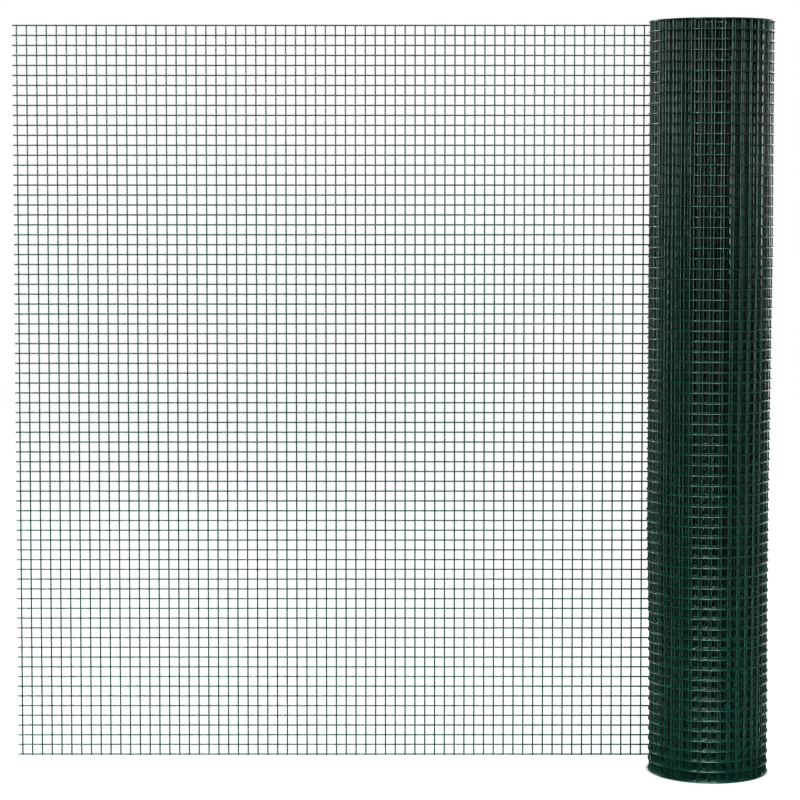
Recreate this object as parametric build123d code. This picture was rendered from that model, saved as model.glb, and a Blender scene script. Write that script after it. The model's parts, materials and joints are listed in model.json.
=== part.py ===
from build123d import *

import os

# A standing roll of coated welded square mesh whose last metre is unrolled flat.
# Millimetres. The roll's axis is Z, its foot is on Z = 0, and the flat run leaves
# the back of the roll (+Y) and runs to -X in the plane that touches it there.

# The mesh
PITCH = 13.5  # wire to wire, both ways: openings of 11.7 mm
WIRE = 1.8  # over the plastic coating
WELD_SINK = 0.4  # how far one wire is pressed into the other at a weld
LINE_WIRES = 75  # the level wires, which run the length of the web

# The roll
ROLL_R = 84.0
TURNS = 16
TURN_PITCH = 3.7  # the web is 3.2 thick, and it is wound with some slack
END_GROOVE = 5.0  # depth shown between two turns at the ends

# The flat run
LAST_CROSS_WIRE = 69  # pitches from the line where the web leaves the roll
CUT_STUB = 6.0  # line wires left standing past the last upright wire
BLUNT_TIP = 9.0  # the wedge beside the roll ends this far from the line of touch

# How the flat run is shared out into nodes
BANDS = 5
COLUMNS = 4

HEIGHT = (LINE_WIRES - 1) * PITCH + WIRE
BORE_R = ROLL_R - TURNS * TURN_PITCH
RUN_END = -(LAST_CROSS_WIRE * PITCH + CUT_STUB)
LINE_Y = ROLL_R - WIRE / 2  # line wires lie on the outside of the web
CROSS_Y = LINE_Y - WIRE + WELD_SINK

# The upright wire one pitch from the line of touch is still within the roll
FIRST_CROSS_WIRE = 2
CROSS_WIRES = LAST_CROSS_WIRE - FIRST_CROSS_WIRE + 1
ROWS_IN_BAND = LINE_WIRES // BANDS
WIRES_IN_COLUMN = CROSS_WIRES // COLUMNS


def end_outline(face_z, groove_z):
    """The turns across one end of the roll, from the outside in.

    Each turn is a ridge, its last line wire, and a groove to the next one. The
    innermost turn has no groove, so the bore is open wall from end to end.
    """
    points = [(ROLL_R, 0, face_z)]
    for turn in range(TURNS - 1):
        ridge = ROLL_R - turn * TURN_PITCH - WIRE
        inner = ROLL_R - (turn + 1) * TURN_PITCH
        points += [(ridge, 0, face_z), (ridge, 0, groove_z)]
        points += [(inner, 0, groove_z), (inner, 0, face_z)]
    points.append((BORE_R, 0, face_z))
    return points


def wound_roll():
    """Every turn of the web as one turned body round its open bore."""
    top = end_outline(HEIGHT, HEIGHT - END_GROOVE)
    foot = end_outline(0, END_GROOVE)
    section = make_face(Polyline(*top, *reversed(foot), close=True))
    return revolve(section, Axis.Z)


def bar(x_from, x_to, y_mid, z_from, z_to):
    """A straight wire as a bar of square section between two corners."""
    low = Vector(x_from, y_mid - WIRE / 2, z_from)
    size = (x_to - x_from, WIRE, z_to - z_from)
    return Pos(low) * Box(*size, align=(Align.MIN, Align.MIN, Align.MIN))


def line_height(row):
    return WIRE / 2 + row * PITCH


def cross_place(number):
    return -number * PITCH


def run_panel(band, column):
    """One part of the flat run, cut mid-opening, its bars welded where they cross."""
    rows = range(band * ROWS_IN_BAND, (band + 1) * ROWS_IN_BAND)
    first = FIRST_CROSS_WIRE + column * WIRES_IN_COLUMN
    crosses = range(first, first + WIRES_IN_COLUMN)

    x_near = cross_place(crosses[0]) + PITCH / 2
    x_far = cross_place(crosses[-1]) - PITCH / 2
    if column == 0:
        x_near = -BLUNT_TIP
    if column == COLUMNS - 1:
        x_far = RUN_END
    z_low = max(0, line_height(rows[0]) - PITCH / 2)
    z_high = min(HEIGHT, line_height(rows[-1]) + PITCH / 2)

    bars = []
    for row in rows:
        z = line_height(row)
        bars.append(bar(x_far, x_near, LINE_Y, z - WIRE / 2, z + WIRE / 2))
    for number in crosses:
        x = cross_place(number)
        bars.append(bar(x - WIRE / 2, x + WIRE / 2, CROSS_Y, z_low, z_high))
    panel = bars[0].fuse(*bars[1:])
    if column == 0:
        panel = panel - Cylinder(ROLL_R, HEIGHT, align=(Align.CENTER, Align.CENTER, Align.MIN))
    return panel


def save(shape, node):
    export_step(shape, f"parts/{node}.step", write_pcurves=False)


os.makedirs("parts", exist_ok=True)
save(wound_roll(), "wound_roll")
for column in range(COLUMNS):
    middle = run_panel(1, column)
    for band in range(BANDS):
        panel = Pos(0, 0, (band - 1) * ROWS_IN_BAND * PITCH) * middle
        if band in (0, BANDS - 1):
            panel = run_panel(band, column)
        save(panel, f"flat_run_{band + 1}_{column + 1}")
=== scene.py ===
import json
import math

import bpy
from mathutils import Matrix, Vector


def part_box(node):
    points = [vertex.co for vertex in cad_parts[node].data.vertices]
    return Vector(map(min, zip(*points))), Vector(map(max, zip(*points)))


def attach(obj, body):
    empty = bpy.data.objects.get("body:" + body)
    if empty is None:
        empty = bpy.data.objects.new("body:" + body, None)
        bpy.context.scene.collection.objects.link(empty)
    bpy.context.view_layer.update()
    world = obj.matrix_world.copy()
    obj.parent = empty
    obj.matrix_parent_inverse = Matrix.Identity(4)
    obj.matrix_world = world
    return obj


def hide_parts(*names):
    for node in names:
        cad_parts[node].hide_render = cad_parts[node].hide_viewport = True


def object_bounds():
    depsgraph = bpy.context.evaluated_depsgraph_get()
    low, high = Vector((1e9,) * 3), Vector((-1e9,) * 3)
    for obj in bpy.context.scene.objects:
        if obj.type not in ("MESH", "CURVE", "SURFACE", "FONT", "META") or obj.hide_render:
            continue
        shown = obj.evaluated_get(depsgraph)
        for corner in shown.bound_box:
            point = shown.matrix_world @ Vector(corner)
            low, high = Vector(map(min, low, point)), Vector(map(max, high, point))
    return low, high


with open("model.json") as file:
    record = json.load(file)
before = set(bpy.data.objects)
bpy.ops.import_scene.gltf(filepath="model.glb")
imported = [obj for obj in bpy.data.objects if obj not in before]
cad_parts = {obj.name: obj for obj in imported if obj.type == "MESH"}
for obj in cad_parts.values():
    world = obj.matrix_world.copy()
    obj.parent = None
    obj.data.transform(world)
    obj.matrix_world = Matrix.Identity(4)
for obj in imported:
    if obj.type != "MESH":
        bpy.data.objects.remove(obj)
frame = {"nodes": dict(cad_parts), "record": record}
cad_low, cad_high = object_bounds()

# A standing roll of coated welded square mesh whose outer end is unrolled flat.
#
# Lengths are metres unless a comment says otherwise. The web is first laid out flat:
# its length along X, its outer face at Y = ROLL_R and its height along Z. X = 0 is the
# line where it touches the roll, so what lies to the left stays flat and what lies to
# the right is wound up.

# The welded mesh
PITCH = 0.0135  # wire to wire, both ways
WIRE = 0.0018  # over the plastic coating
WELD_SINK = 0.0004  # how far one wire is pressed into the other at a weld
WELD_SWELL = 1.18  # a weld's coating against the wire's own thickness
CUT_STUB = 0.006  # line wires left standing past the last upright wire

# The roll, as the frame holds it
_, roll_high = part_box("wound_roll")
HEIGHT = roll_high.z
ROLL_R = roll_high.x
bore = next(mount for mount in frame["record"]["mounts"] if mount["name"] == "bore")
BORE_R = bore["dims"]["r_mm"] / 1000
TURNS = 16
TURN_PITCH = (ROLL_R - BORE_R) / TURNS
WOUND_LENGTH = math.pi * (ROLL_R**2 - BORE_R**2) / TURN_PITCH

LINE_WIRES = round((HEIGHT - WIRE) / PITCH) + 1
LINE_Y = ROLL_R - WIRE / 2  # line wires lie on the outside of the web
CROSS_Y = LINE_Y - WIRE + WELD_SINK
FLAT_CROSS_WIRES = round((-cad_low.x - CUT_STUB) / PITCH)
WOUND_CROSS_WIRES = int(WOUND_LENGTH / PITCH)

# How finely the wires are made. The outer two and a half turns are seen from close by
# and the flat wires need no bends, so both are rounder than the inner turns.
OUTER_CROSS_WIRES = 92
OUTER_LENGTH = (OUTER_CROSS_WIRES + 0.5) * PITCH
FLAT_SIDES = 10
OUTER_SIDES = 6
INNER_SIDES = 4
INNER_BENDS = 24  # up the height of an inner cross wire

# How the turns lie. At the foot they are tight. At the top the outer three stand
# apart, mostly on the right, and the inner ones sit a little to the left.
FOOT_TURN = 0.00354  # from one turn to the next
TOP_TURN = 0.00362
TOP_LEAN = 0.00019  # less than that on the right, more on the left
FOOT_EASE = 0.25  # turns that the web takes to come in from the full radius at the foot
RIGHT_OPENS = (0.3, 0.75)  # heights between which the tight foot turns into the open top
LEFT_OPENS = (0.1, 0.35)
TOP_OUTER_TURNS = (  # after so many turns the top has come in by so many millimetres
    (0, 0),
    (0.25, 0.3),
    (0.5, 0.7),
    (0.75, 1.2),
    (1, 3.7),
    (1.25, 4.8),
    (1.75, 4.9),
    (2, 7.5),
    (2.25, 9.1),
    (2.75, 9.4),
    (3, 12.1),
    (3.25, 15.5),
    (3.5, 14.0),
)
LAST_OUTER_TURN = TOP_OUTER_TURNS[-1][0]
OUTER_TO_INNER = (3.0, 3.4)  # the turns between which that curve gives way to even ones

# How uneven the winding is
SLIPS = (  # after so many turns the web has slipped along by so many millimetres, less 5
    (0, 5),
    (0.5, 5),
    (1.5, 5.1),
    (2.5, 1.5),
    (3.5, 7.6),
    (4.5, 10),
    (5.5, 8.6),
    (6.5, 3.5),
    (7.5, 8.2),
    (8.5, 9.2),
    (10, 9),
    (12, 9.5),
    (14, 3.5),
    (16, 2),
)
MOST_SLIP = 10.0  # millimetres, the top of that curve
NO_SLIP = 0.005  # its middle, so that the web can slip both ways
SLACK = 0.0025  # how far a tighter or looser stretch has shifted its cross wires
ROW_DRIFT = 0.0025  # how far the line wires have shifted up or down
BULGE = 0.0008  # how far the whole stack stands in or out
KINK = 0.0002  # how far the wires are out of true
EVEN_START = 0.08  # the length past the line of touch in which all this sets in
EVEN_ENDS = 0.12  # the height at foot and top over which the rows come back level

# Waves to the metre, along the web and up it, or for the bulge across the roll and up it
DRIFT_WAVES = (2.2, 0.6)
KINK_WAVES = (45.0, 22.0)
BULGE_WAVES = (8.0, 4.0)

# Each unevenness is read from its own part of the noise
SEED = 3.0
DRIFT_LAYER = 4.0
KINK_LAYER = 9.0
BULGE_SEED = 5.0  # past SEED


class Field:
    """A number in a node tree, so that a rule for many points reads as arithmetic."""

    def __init__(self, tree, socket):
        self.tree = tree
        self.socket = socket

    def reckon(self, operation, other=0.0, swap=False):
        """One step of arithmetic on this number, and on the other where it takes two."""
        pair = (other, self) if swap else (self, other)
        node = self.tree.put("ShaderNodeMath", operation=operation)
        for slot, value in zip(node.inputs, pair):
            self.tree.feed(slot, value)
        return Field(self.tree, node.outputs[0])

    def __add__(self, other):
        return self.reckon("ADD", other)

    def __radd__(self, other):
        return self.reckon("ADD", other)

    def __sub__(self, other):
        return self.reckon("SUBTRACT", other)

    def __rsub__(self, other):
        return self.reckon("SUBTRACT", other, swap=True)

    def __mul__(self, other):
        return self.reckon("MULTIPLY", other)

    def __rmul__(self, other):
        return self.reckon("MULTIPLY", other)

    def __truediv__(self, other):
        return self.reckon("DIVIDE", other)

    def root(self):
        return self.reckon("SQRT")

    def sine(self):
        return self.reckon("SINE")

    def cosine(self):
        return self.reckon("COSINE")

    def at_least(self, limit):
        return self.reckon("MAXIMUM", limit)

    def at_most(self, limit):
        return self.reckon("MINIMUM", limit)

    def ramp(self, start, end, low=0.0, high=1.0):
        """Goes smoothly from low to high as this number goes from start to end."""
        node = self.tree.put("ShaderNodeMapRange", interpolation_type="SMOOTHSTEP")
        for slot, value in zip(node.inputs, (self, start, end, low, high)):
            self.tree.feed(slot, value)
        return Field(self.tree, node.outputs[0])

    def read_off(self, points, across, up):
        """The height, at this number, of a smooth curve drawn through the points.

        The node draws its curve in a square of side 1, so the points are shrunk into
        it from a sheet that is so far across and so far up.
        """
        node = self.tree.put("ShaderNodeFloatCurve")
        drawn = node.mapping.curves[0].points
        for number, (x, y) in enumerate(points):
            spot = (x / across, y / up)
            if number < 2:  # a new curve comes with its first two points
                drawn[number].location = spot
            else:
                drawn.new(*spot)
        for point in drawn:
            point.handle_type = "AUTO_CLAMPED"
        node.mapping.update()
        self.tree.feed(node.inputs["Value"], self / across)
        return Field(self.tree, node.outputs[0]) * up


class Nodes:
    """A node tree while it is built."""

    def __init__(self, group):
        self.group = group

    def put(self, kind, inputs=None, **settings):
        node = self.group.nodes.new(kind)
        for key, value in settings.items():
            setattr(node, key, value)
        for key, value in (inputs or {}).items():
            self.feed(node.inputs[key], value)
        return node

    def feed(self, slot, value):
        if isinstance(value, Field):
            value = value.socket
        if isinstance(value, bpy.types.NodeSocket):
            self.group.links.new(value, slot)
        else:
            slot.default_value = value

    def vector(self, x=0.0, y=0.0, z=0.0):
        return self.put("ShaderNodeCombineXYZ", {"X": x, "Y": y, "Z": z}).outputs[0]

    def parts(self, vector):
        node = self.put("ShaderNodeSeparateXYZ", {"Vector": vector})
        return [Field(self, socket) for socket in node.outputs]


class Tree(Nodes):
    """A Geometry Nodes tree, with its sizes as named inputs."""

    def __init__(self, name):
        super().__init__(bpy.data.node_groups.new(name, "GeometryNodeTree"))
        self.group.is_modifier = True
        self.group.interface.new_socket(
            "Geometry", in_out="OUTPUT", socket_type="NodeSocketGeometry"
        )
        self.source = self.group.nodes.new("NodeGroupInput")
        self.sink = self.group.nodes.new("NodeGroupOutput")

    def size(self, name, kind="Float"):
        self.group.interface.new_socket(
            name, in_out="INPUT", socket_type="NodeSocket" + kind
        )
        return Field(self, self.source.outputs[name])

    def waver(self, vector, seed):
        """Three numbers that wander smoothly, most of the time between -1 and 1."""
        noise = self.put(
            "ShaderNodeTexNoise",
            {"Vector": vector, "W": seed, "Scale": 1.0, "Detail": 1.0},
            noise_dimensions="4D",
        )
        spread = 3.0  # noise keeps to the middle of its range
        return [(part - 0.5) * spread for part in self.parts(noise.outputs["Color"])]

    def finish(self, mesh, coating):
        """Winds up the laid-out wires and coats them."""
        # The copies become real before they are wound, so that each can bend its own way
        mesh = self.put("GeometryNodeRealizeInstances", {"Geometry": mesh}).outputs[0]
        mesh = wind_up(self, mesh)
        mesh = self.put("GeometryNodeSetShadeSmooth", {"Geometry": mesh}).outputs[0]
        mesh = self.put("GeometryNodeRealizeInstances", {"Geometry": mesh}).outputs[0]
        node = self.put("GeometryNodeSetMaterial", {"Geometry": mesh, "Material": coating})
        self.group.links.new(node.outputs[0], self.sink.inputs[0])
        return self.group


def wound_radius(turn, right, z):
    """How far from the roll's axis the web's outer face lies after so many turns."""
    left_over = TURNS - turn
    looseness = ROLL_R - BORE_R - TURNS * FOOT_TURN
    foot = BORE_R + left_over * FOOT_TURN + turn.ramp(0.0, FOOT_EASE, looseness, 0.0)
    inner = BORE_R + left_over * (TOP_TURN - TOP_LEAN * right)
    come_in = turn.at_most(LAST_OUTER_TURN).read_off(TOP_OUTER_TURNS, across=4.0, up=20.0)
    outer = ROLL_R - come_in / 1000
    top = inner + (outer - inner) * turn.ramp(*OUTER_TO_INNER, 1.0, 0.0)
    opens_left = z.ramp(*LEFT_OPENS)
    opens_right = z.ramp(*RIGHT_OPENS)
    opened = opens_left + (opens_right - opens_left) * (right * 0.5 + 0.5)
    return foot + (top - foot) * opened


def wind_up(tree, mesh):
    """Moves each point of the flat web to its place on the wound one."""
    seed = tree.size("Seed")
    place = tree.put("GeometryNodeInputPosition").outputs[0]
    x, y, z = tree.parts(place)
    past = x.at_least(0.0)
    depth = ROLL_R - y
    nominal = (ROLL_R**2 - past * (TURN_PITCH / math.pi)).at_least(0.0).root()
    turn = (ROLL_R - nominal) / TURN_PITCH
    sets_in = past.ramp(0.0, EVEN_START)

    # A stretch that was wound tighter or looser has its wires shifted along and up or down
    along_waves, up_waves = DRIFT_WAVES
    drift = tree.waver(tree.vector(x * along_waves, DRIFT_LAYER, z * up_waves), seed)
    along_waves, up_waves = KINK_WAVES
    kinks = tree.waver(tree.vector(x * along_waves, KINK_LAYER, z * up_waves), seed)
    ends_level = z.ramp(0.0, EVEN_ENDS) * (HEIGHT - z).ramp(0.0, EVEN_ENDS)
    up = (z + drift[2] * ends_level * sets_in * ROW_DRIFT).at_least(0.0).at_most(HEIGHT)
    slip = turn.read_off(SLIPS, across=TURNS, up=MOST_SLIP) / 1000 - NO_SLIP
    along = (drift[0] * SLACK + kinks[0] * KINK + slip) * sets_in
    angle = turn * math.tau + along / nominal

    # The whole stack bulges together, so the turns keep clear of each other
    right, back = angle.sine(), angle.cosine()
    across_waves, up_waves = BULGE_WAVES
    wave = tree.waver(
        tree.vector(
            nominal * right * across_waves, nominal * back * across_waves, z * up_waves
        ),
        seed + BULGE_SEED,
    )
    bulge = (wave[0] * BULGE + kinks[1] * KINK) * sets_in
    radius = wound_radius(turn, right, z) + bulge - depth

    moved = tree.vector(x.at_most(0.0) + radius * right, radius * back, up)
    node = tree.put("GeometryNodeSetPosition", {"Geometry": mesh, "Position": moved})
    return node.outputs[0]


def straight_wire(tree, start, end, parts, sides):
    """A round wire between two points, cut square at both ends."""
    line = tree.put("GeometryNodeCurvePrimitiveLine", {"Start": start, "End": end})
    line = tree.put(
        "GeometryNodeResampleCurve",
        {"Curve": line.outputs[0], "Count": parts + 1},
        mode="COUNT",
    )
    ring = tree.put(
        "GeometryNodeCurvePrimitiveCircle",
        {"Resolution": sides, "Radius": tree.size("Wire") / 2},
        mode="RADIUS",
    )
    wire = tree.put(
        "GeometryNodeCurveToMesh",
        {"Curve": line.outputs[0], "Profile Curve": ring.outputs[0], "Fill Caps": True},
    )
    return wire.outputs[0]


def repeated(tree, piece, count, start, offset):
    """The same piece at equal steps along a line."""
    places = tree.put(
        "GeometryNodeMeshLine",
        {"Count": count, "Start Location": start, "Offset": offset},
    )
    return tree.put(
        "GeometryNodeInstanceOnPoints", {"Points": places.outputs[0], "Instance": piece}
    ).outputs[0]


def line_wires_tree():
    """The level wires of a length of web, one above the other."""
    tree = Tree("line_wires")
    start, end = tree.size("Start"), tree.size("End")
    parts, sides = tree.size("Parts", "Int"), tree.size("Sides", "Int")
    wire = straight_wire(
        tree, tree.vector(start, LINE_Y), tree.vector(end, LINE_Y), parts, sides
    )
    rows = repeated(
        tree,
        wire,
        tree.size("Line wires", "Int"),
        tree.vector(z=WIRE / 2),
        tree.vector(z=tree.size("Pitch")),
    )
    return tree.finish(rows, tree.size("Coating", "Material"))


def cross_wires_tree():
    """The upright wires of a length of web, side by side."""
    tree = Tree("cross_wires")
    start, height = tree.size("Start"), tree.size("Height")
    parts, sides = tree.size("Parts", "Int"), tree.size("Sides", "Int")
    wire = straight_wire(
        tree, tree.vector(y=CROSS_Y), tree.vector(y=CROSS_Y, z=height), parts, sides
    )
    uprights = repeated(
        tree,
        wire,
        tree.size("Cross wires", "Int"),
        tree.vector(start),
        tree.vector(tree.size("Pitch")),
    )
    return tree.finish(uprights, tree.size("Coating", "Material"))


def welds_tree():
    """A bead of coating at every crossing of a length of web."""
    tree = Tree("welds")
    start, pitch = tree.size("Start"), tree.size("Pitch")
    bead = tree.put(
        "GeometryNodeMeshIcoSphere", {"Radius": tree.size("Weld") / 2, "Subdivisions": 1}
    )
    bead = tree.put(
        "GeometryNodeTransform",
        {"Geometry": bead.outputs[0], "Translation": (0, (LINE_Y + CROSS_Y) / 2, 0)},
    )
    column = repeated(
        tree,
        bead.outputs[0],
        tree.size("Line wires", "Int"),
        tree.vector(z=WIRE / 2),
        tree.vector(z=pitch),
    )
    columns = repeated(
        tree, column, tree.size("Cross wires", "Int"), tree.vector(start), tree.vector(pitch)
    )
    return tree.finish(columns, tree.size("Coating", "Material"))


def make_piece(name, group, nodes, sizes):
    """Runs a tree once and keeps its result as a plain mesh that stands for CAD nodes."""
    piece = bpy.data.objects.new(name, bpy.data.meshes.new(name))
    bpy.context.scene.collection.objects.link(piece)
    modifier = piece.modifiers.new("build", "NODES")
    modifier.node_group = group
    for item in group.interface.items_tree:
        if item.in_out == "INPUT":
            modifier[item.identifier] = sizes[item.name]
    depsgraph = bpy.context.evaluated_depsgraph_get()
    mesh = bpy.data.meshes.new_from_object(piece.evaluated_get(depsgraph))
    piece.modifiers.remove(modifier)
    piece.data = mesh
    mesh.name = name
    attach(piece, "root")
    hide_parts(*nodes)


# The coating's greens
DEEP_GREEN = (0.003, 0.037, 0.027, 1)
LIGHTER_GREEN = (0.006, 0.054, 0.041, 1)
WORN_GREEN = (0.020, 0.062, 0.050, 1)

# How each of its noises looks: grains to the metre, and detail within them
SHADE_GRAIN = (60.0, 3.0)
DUST_GRAIN = (14.0, 4.0)
SCUFF_GRAIN = (320.0, 3.0)
RIPPLE_GRAIN = (900.0, 2.0)

# What each of them does
DEEP_TO_LIGHTER = (0.3, 0.7)  # the noise between which one green becomes the other
CLEAN_TO_DUSTY = (0.45, 0.75)
SOUND_TO_SCUFFED = (0.6, 0.72)
MOST_DUST = 0.2  # of the worn green
MOST_SCUFF = 0.25
GLOSS = 0.6
ROUGHNESS = 0.15
RIPPLE_ROUGHNESS = 0.06  # added by the ripples
WORN_ROUGHNESS = 0.3  # added for each part of dust or scuff
RIPPLE_STRENGTH = 0.15
RIPPLE_DEPTH = 0.0001


def coating_material():
    """Glossy dark green plastic that flowed round the wire, a little dusty and scuffed."""
    material = bpy.data.materials.new("green_coating")
    material.use_nodes = True
    shader = material.node_tree.nodes["Principled BSDF"]
    shader.inputs["Specular IOR Level"].default_value = GLOSS
    nodes = Nodes(material.node_tree)
    place = nodes.put("ShaderNodeTexCoord").outputs["Object"]

    def noise(grain):
        per_metre, detail = grain
        settings = {"Vector": place, "Scale": per_metre, "Detail": detail}
        return Field(nodes, nodes.put("ShaderNodeTexNoise", settings).outputs["Fac"])

    shade = nodes.put("ShaderNodeValToRGB", {"Fac": noise(SHADE_GRAIN)})
    deep, lighter = shade.color_ramp.elements
    deep.position, lighter.position = DEEP_TO_LIGHTER
    deep.color, lighter.color = DEEP_GREEN, LIGHTER_GREEN
    dusty = noise(DUST_GRAIN).ramp(*CLEAN_TO_DUSTY) * MOST_DUST
    scuffed = noise(SCUFF_GRAIN).ramp(*SOUND_TO_SCUFFED) * MOST_SCUFF
    worn = nodes.put(
        "ShaderNodeMix",
        {"Factor": dusty + scuffed, "A": shade.outputs["Color"], "B": WORN_GREEN},
        data_type="RGBA",
    )
    nodes.feed(shader.inputs["Base Color"], worn.outputs["Result"])

    ripple = noise(RIPPLE_GRAIN)
    unworn = ROUGHNESS + ripple * RIPPLE_ROUGHNESS
    roughness = unworn + dusty * WORN_ROUGHNESS + scuffed * WORN_ROUGHNESS
    nodes.feed(shader.inputs["Roughness"], roughness)
    bump = nodes.put(
        "ShaderNodeBump",
        {"Height": ripple, "Strength": RIPPLE_STRENGTH, "Distance": RIPPLE_DEPTH},
    )
    nodes.feed(shader.inputs["Normal"], bump.outputs["Normal"])
    return material


def make_web():
    """The whole web in eight pieces. The inner turns, hard to see, go without welds."""
    flat_nodes = sorted(name for name in frame["nodes"] if name.startswith("flat_run"))
    roll_nodes = ["wound_roll"]
    common = {
        "Seed": SEED,
        "Wire": WIRE,
        "Weld": WIRE * WELD_SWELL,
        "Height": HEIGHT,
        "Pitch": PITCH,
        "Line wires": LINE_WIRES,
        "Coating": coating_material(),
    }

    lines = line_wires_tree()
    flat = {"Start": cad_low.x, "End": 0.0, "Parts": 1, "Sides": FLAT_SIDES}
    outer = {
        "Start": 0.0,
        "End": OUTER_LENGTH,
        "Parts": 2 * OUTER_CROSS_WIRES,
        "Sides": OUTER_SIDES,
    }
    inner = {
        "Start": OUTER_LENGTH,
        "End": WOUND_LENGTH,
        "Parts": round((WOUND_LENGTH - OUTER_LENGTH) / PITCH),
        "Sides": INNER_SIDES,
    }
    make_piece("flat_line_wires", lines, flat_nodes, {**common, **flat})
    make_piece("outer_line_wires", lines, roll_nodes, {**common, **outer})
    make_piece("inner_line_wires", lines, roll_nodes, {**common, **inner})

    crosses = cross_wires_tree()
    flat = {"Start": -FLAT_CROSS_WIRES * PITCH, "Cross wires": FLAT_CROSS_WIRES}
    outer = {"Start": 0.0, "Cross wires": OUTER_CROSS_WIRES + 1}
    inner = {
        "Start": (OUTER_CROSS_WIRES + 1) * PITCH,
        "Cross wires": WOUND_CROSS_WIRES - OUTER_CROSS_WIRES,
    }
    flat_make = {"Parts": 1, "Sides": FLAT_SIDES}
    outer_make = {"Parts": LINE_WIRES - 1, "Sides": OUTER_SIDES}
    inner_make = {"Parts": INNER_BENDS, "Sides": INNER_SIDES}
    make_piece("flat_cross_wires", crosses, flat_nodes, {**common, **flat, **flat_make})
    make_piece("outer_cross_wires", crosses, roll_nodes, {**common, **outer, **outer_make})
    make_piece("inner_cross_wires", crosses, roll_nodes, {**common, **inner, **inner_make})

    welds = welds_tree()
    make_piece("flat_welds", welds, flat_nodes, {**common, **flat})
    make_piece("outer_welds", welds, roll_nodes, {**common, **outer})


# The studio
ROOM_LIGHT = 0.05  # how bright the room is on the camera's side
BACK_LIGHT = 0.7  # and behind the roll
FULL_BACK = 0.9  # where it gets that bright, from 0 beside the roll to 1 straight behind
FLOOR_REACH = 6.0
FLOOR_GREY = 0.1
FLOOR_ROUGHNESS = 0.9
FLOOR_GLOW = 0.97  # as the camera sees it
FLOOR_SHEEN = 1.5  # as the glossy wires mirror it
# A painted shadow under the roll: the floor's glow is dark within the roll's foot and turns
# white just outside it.
PAINTED_SHADOW_TO_GLOW = (ROLL_R - 0.012, ROLL_R + 0.002)  # how far from the axis dark turns to glow
# Painted shade in the wires' reflections: the floor's glow as they mirror it is dark at the
# roll and grows to full over a quarter metre.
PAINTED_SHADE_TO_SHEEN = (ROLL_R, ROLL_R + 0.25)  # and to sheen
SOFT_BOXES = (  # place, height it aims at on the axis, width, height, watts, spread in degrees
    ("front_box", (-0.43, -3.5, 1.15), 0.5, 2.8, 0.8, 58, 180),
    ("left_strip", (-1.63, -2.52, 1.2), 0.5, 0.3, 2.0, 62, 180),
    ("right_strip", (0.62, -2.93, 1.2), 0.5, 0.3, 2.0, 56, 180),
    ("top_box", (0.0, -2.0, 3.2), 0.5, 3.0, 1.0, 85, 180),
    ("foot_box", (-0.43, -3.3, 0.8), -0.2, 2.6, 0.8, 16, 34),
    ("side_strip", (2.9, -0.65, 1.2), 0.5, 0.4, 2.0, 8, 180),
    ("back_left_box", (-2.3, 1.9, 1.2), 0.5, 0.8, 2.0, 65, 180),
    ("back_right_box", (1.6, 2.5, 1.2), 0.5, 0.8, 2.0, 25, 180),
)
VIEW_GAMMA = 0.65  # darkens the middle tones, as the photograph's finish does


def camera_ray(nodes):
    """1 where the camera looks straight at it, 0 where it is mirrored or lights a surface."""
    return Field(nodes, nodes.put("ShaderNodeLightPath").outputs["Is Camera Ray"])


def make_floor():
    """A wide white floor that glows like a light table. Its glow is turned down under the roll
    as a painted shadow, and near the roll as painted shade in the wires' reflections.
    """
    mesh = bpy.data.meshes.new("floor")
    reach = FLOOR_REACH
    corners = [(-reach, -reach, 0), (reach, -reach, 0), (reach, reach, 0), (-reach, reach, 0)]
    mesh.from_pydata(corners, [], [(0, 1, 2, 3)])
    floor = bpy.data.objects.new("floor", mesh)
    bpy.context.scene.collection.objects.link(floor)
    material = bpy.data.materials.new("pale_floor")
    material.use_nodes = True
    shader = material.node_tree.nodes["Principled BSDF"]
    shader.inputs["Base Color"].default_value = (FLOOR_GREY, FLOOR_GREY, FLOOR_GREY, 1)
    shader.inputs["Specular IOR Level"].default_value = 0.0
    shader.inputs["Roughness"].default_value = FLOOR_ROUGHNESS
    shader.inputs["Emission Color"].default_value = (1, 1, 1, 1)
    nodes = Nodes(material.node_tree)
    x, y, _ = nodes.parts(nodes.put("ShaderNodeTexCoord").outputs["Object"])
    from_axis = (x * x + y * y).root()
    # Painted shadow under the roll, in the floor as the camera sees it
    seen = from_axis.ramp(*PAINTED_SHADOW_TO_GLOW) * FLOOR_GLOW
    # Painted shade near the roll, in the floor as the wires mirror it
    mirrored = from_axis.ramp(*PAINTED_SHADE_TO_SHEEN) * FLOOR_SHEEN
    glow = mirrored + (seen - mirrored) * camera_ray(nodes)
    nodes.feed(shader.inputs["Emission Strength"], glow)
    mesh.materials.append(material)
    floor.visible_diffuse = False


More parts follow.
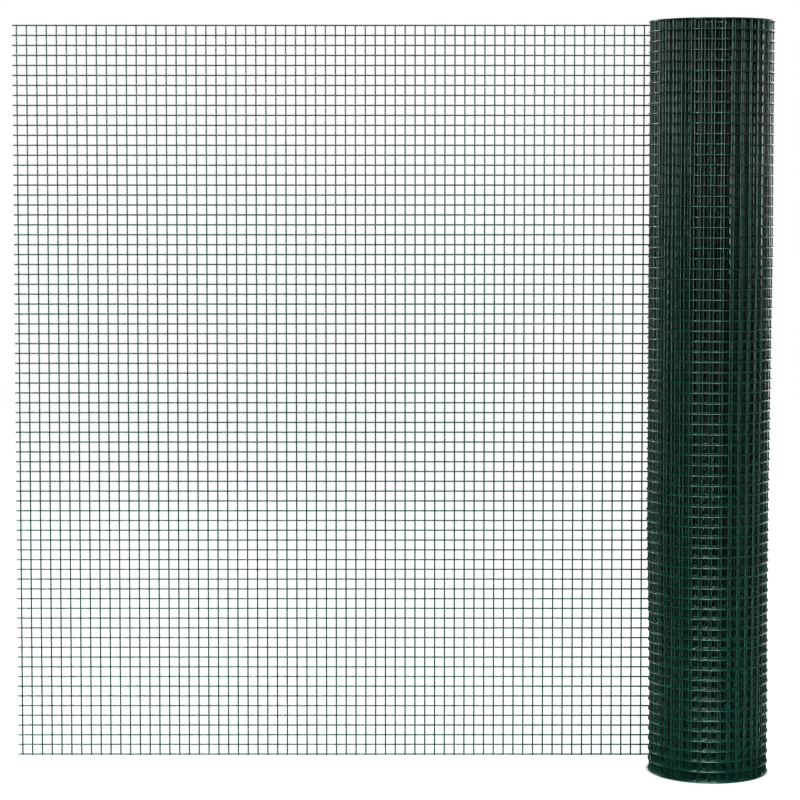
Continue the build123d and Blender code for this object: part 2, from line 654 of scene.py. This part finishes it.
def soft_box(name, place, target, width, height, power, spread):
    """A lamp with a rectangular face turned to its target."""
    lamp = bpy.data.lights.new(name, "AREA")
    lamp.shape = "RECTANGLE"
    lamp.size, lamp.size_y = width, height
    lamp.energy = power
    lamp.spread = math.radians(spread)
    holder = bpy.data.objects.new(name, lamp)
    bpy.context.scene.collection.objects.link(holder)
    holder.location = place
    holder.rotation_euler = (Vector(target) - Vector(place)).to_track_quat("-Z", "Y").to_euler()


def make_light():
    """A white background, a room that is dim in front and lighter behind, and soft boxes."""
    world = bpy.data.worlds.new("studio")
    bpy.context.scene.world = world
    world.use_nodes = True
    nodes = Nodes(world.node_tree)
    _, back, _ = nodes.parts(nodes.put("ShaderNodeTexCoord").outputs["Generated"])
    room = back.ramp(0.0, FULL_BACK, ROOM_LIGHT, BACK_LIGHT)
    background = world.node_tree.nodes["Background"]
    background.inputs["Color"].default_value = (1, 1, 1, 1)
    nodes.feed(background.inputs["Strength"], room + (1.0 - room) * camera_ray(nodes))
    for name, place, aim, width, height, power, spread in SOFT_BOXES:
        soft_box(name, place, (0, 0, aim), width, height, power, spread)


# The camera, as far as one view allows between the run's square-on look and the
# roll's look from above its middle
CAMERA_AWAY = 3.3
CAMERA_HEIGHT = 0.8
CAMERA_X = -0.412
CAMERA_TILT = math.radians(3.38)
LENS = 111.8  # millimetres
SENSOR_WIDTH = 36  # millimetres
LENS_SHIFT = -0.1


def make_camera():
    """Stands in front of the run and the roll and looks a little downwards."""
    lens = bpy.data.cameras.new("camera")
    lens.lens = LENS
    lens.sensor_width = SENSOR_WIDTH
    lens.shift_y = LENS_SHIFT
    camera = bpy.data.objects.new("camera", lens)
    bpy.context.scene.collection.objects.link(camera)
    camera.location = (CAMERA_X, -CAMERA_AWAY, CAMERA_HEIGHT)
    camera.rotation_euler = (math.radians(90) - CAMERA_TILT, 0, 0)
    bpy.context.scene.camera = camera


make_web()
make_floor()
make_light()
make_camera()
bpy.context.scene.view_settings.view_transform = "Standard"
bpy.context.scene.view_settings.gamma = VIEW_GAMMA
